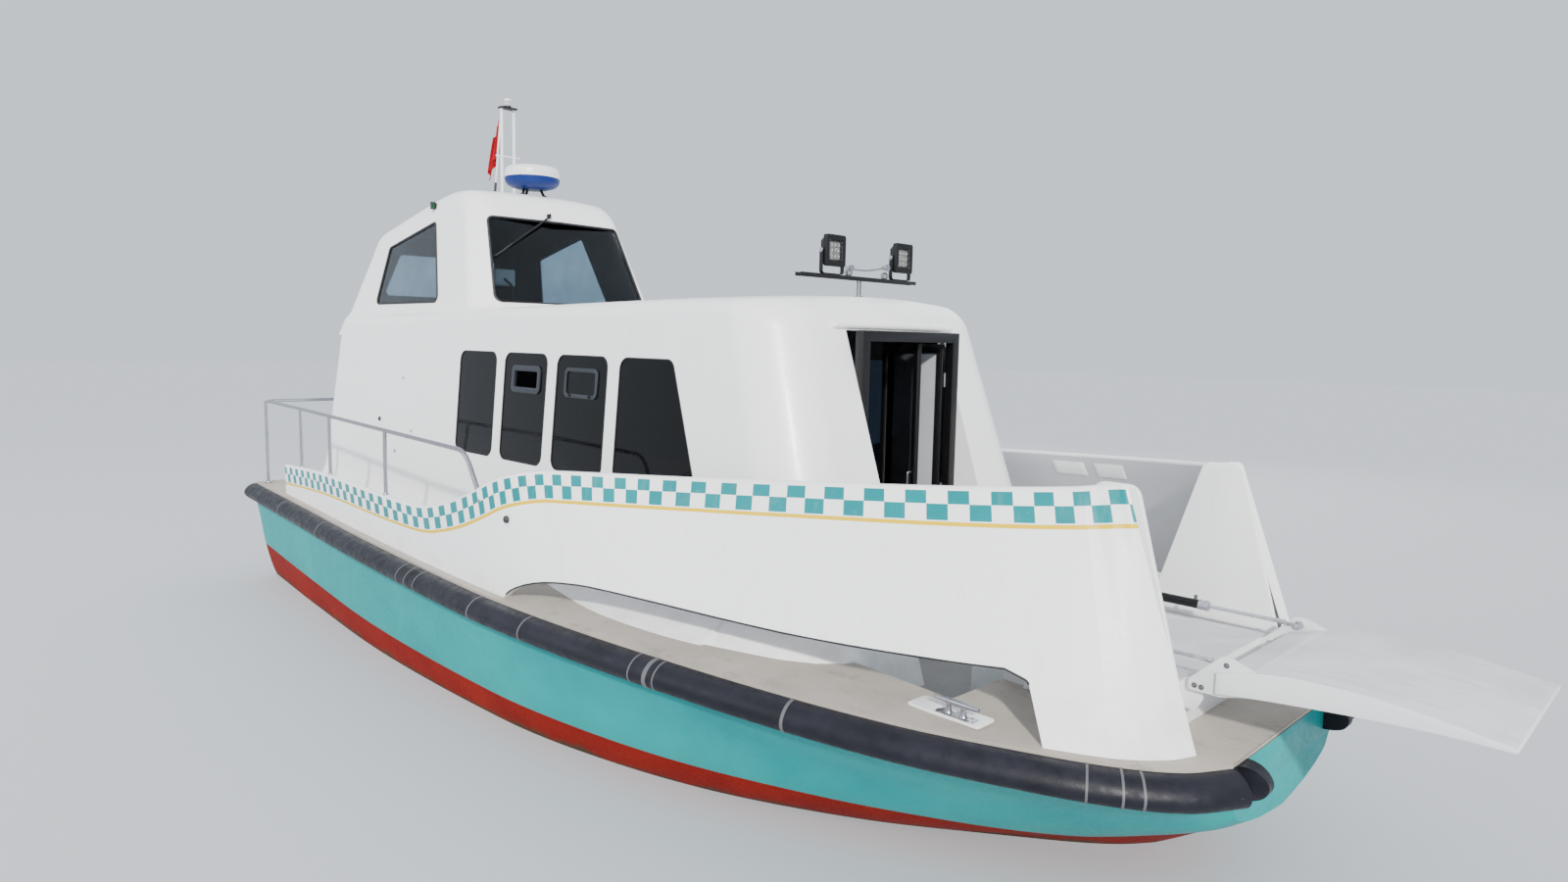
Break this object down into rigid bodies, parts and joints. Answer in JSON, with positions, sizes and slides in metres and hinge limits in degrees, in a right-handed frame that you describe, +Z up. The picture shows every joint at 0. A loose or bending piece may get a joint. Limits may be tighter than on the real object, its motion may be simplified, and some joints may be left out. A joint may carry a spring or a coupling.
{
  "type": "water taxi",
  "caption": "Small passenger water taxi with a raised wheelhouse aft, a long cabin, high bulwarks and a hydraulic boarding ramp at the bow.",
  "frame": {"origin": "amidships between the transom and the stem, on the centre plane, at the waterline", "axes": "+X to the bow and its ramp, +Y to port, +Z up"},
  "size_m": [10.1223, 3.9646, 5.695],
  "materials": {
    "gelcoat": "white gelcoat",
    "topside": "turquoise topside paint",
    "bottom": "red bottom paint",
    "deck": "non-slip deck coating",
    "fender": "black rubber",
    "glazing": "dark tinted glass",
    "steel": "polished stainless steel",
    "black": "satin black",
    "bronze": "cast bronze",
    "cushion": "dark blue vinyl",
    "lining": "light grey lining",
    "flag_cloth": "red cloth",
    "engine": "painted casting",
    "mast_paint": "white paint",
    "ramp_paint": "off-white non-slip paint"
  },
  "bodies": {
    "boat": {"bench_cushion_port": "cushion", "bench_cushion_starboard": "cushion", "bench_port": "lining", "bench_starboard": "lining", "bow_cheek_port": "gelcoat", "bow_cheek_starboard": "gelcoat", "bow_platform": "gelcoat", "bow_step": "ramp_paint", "bulwark_port": "gelcoat", "bulwark_starboard": "gelcoat", "cabin_aft": "gelcoat", "cabin_front": "gelcoat", "cabin_roof": "gelcoat", "cabin_side_port": "gelcoat", "cabin_side_starboard": "gelcoat", "cabin_skirt_port": "gelcoat", "cabin_skirt_starboard": "gelcoat", "cabin_sole": "lining", "cabin_windows_port": "glazing", "cabin_windows_starboard": "glazing", "cleat_bow_port": "steel", "cleat_bow_starboard": "steel", "cleat_stern_port": "steel", "cleat_stern_starboard": "steel", "door_frame": "black", "engine": "engine", "fender": "fender", "flag": "flag_cloth", "floodlight_bar": "black", "helm_console": "black", "helm_floor": "lining", "helm_seat": "cushion", "helm_seat_frame": "steel", "helm_steps": "lining", "hull_bottom": "bottom", "hull_topsides": "topside", "mast": "mast_paint", "radar": "mast_paint", "rear_window": "glazing", "side_deck": "deck", "stern_rail": "steel", "wheelhouse": "gelcoat", "wheelhouse_window_port": "glazing", "wheelhouse_window_starboard": "glazing", "windscreen": "glazing"},
    "ramp": {"ramp": "ramp_paint"},
    "barrel_starboard": {"ramp_barrel_starboard": "black"},
    "rod_starboard": {"ramp_rod_starboard": "steel"},
    "barrel_port": {"ramp_barrel_port": "black"},
    "rod_port": {"ramp_rod_port": "steel"},
    "door_leaf_one": {"door_leaf_jamb": "black"},
    "door_leaf_two": {"door_leaf_free": "black"},
    "propeller": {"propeller": "bronze"},
    "helm_wheel": {"helm_wheel": "black"},
    "rudder": {"rudder": "bronze"}
  },
  "joints": [
    {"name": "ramp_lift", "type": "hinge", "parent": "boat", "child": "ramp", "pos_m": [4.315, 0, 1.02], "axis": [0, -1, 0], "range_deg": [-10, 75]},
    {"name": "cylinder_swing_starboard", "type": "hinge", "parent": "boat", "child": "barrel_starboard", "pos_m": [3.495, -0.441, 1.14], "axis": [0, -1, 0], "range_deg": [-0.7, 4.5]},
    {"name": "cylinder_stroke_starboard", "type": "slide", "parent": "barrel_starboard", "child": "rod_starboard", "axis": [-1, 0, 0], "range_m": [-0.03, 0.215]},
    {"name": "cylinder_swing_port", "type": "hinge", "parent": "boat", "child": "barrel_port", "pos_m": [3.495, 0.441, 1.14], "axis": [0, -1, 0], "range_deg": [-0.7, 4.5]},
    {"name": "cylinder_stroke_port", "type": "slide", "parent": "barrel_port", "child": "rod_port", "axis": [-1, 0, 0], "range_m": [-0.03, 0.215]},
    {"name": "door_jamb_hinge", "type": "hinge", "parent": "boat", "child": "door_leaf_one", "pos_m": [2.299, 0.394, 1.6], "axis": [0, 0, 1], "range_deg": [-6, 75]},
    {"name": "door_fold_hinge", "type": "hinge", "parent": "door_leaf_one", "child": "door_leaf_two", "pos_m": [1.9297, 0.2578, 1.6], "axis": [0, 0, 1], "range_deg": [-150, 12]},
    {"name": "propeller_spin", "type": "hinge", "parent": "boat", "child": "propeller", "pos_m": [-3.805, 0, -0.76], "axis": [0.9836, 0, 0.1805], "continuous": true},
    {"name": "helm_wheel_turn", "type": "hinge", "parent": "boat", "child": "helm_wheel", "pos_m": [-2.065, -0.33, 2.4], "axis": [0.9397, 0, -0.342], "range_deg": [-540, 540]},
    {"name": "rudder_turn", "type": "hinge", "parent": "boat", "child": "rudder", "pos_m": [-4.235, 0, -0.5], "axis": [0, 0, 1], "range_deg": [-35, 35]}
  ],
  "couplings": [
    {"joint": "cylinder_swing_starboard", "follows": "ramp_lift", "ratio": 0.058},
    {"joint": "cylinder_swing_port", "follows": "ramp_lift", "ratio": 0.058},
    {"joint": "cylinder_stroke_starboard", "follows": "ramp_lift", "m_per_rad": 0.1614},
    {"joint": "cylinder_stroke_port", "follows": "ramp_lift", "m_per_rad": 0.1614},
    {"joint": "door_fold_hinge", "follows": "door_jamb_hinge", "ratio": -2},
    {"joint": "rudder_turn", "follows": "helm_wheel_turn", "ratio": 0.0648}
  ]
}
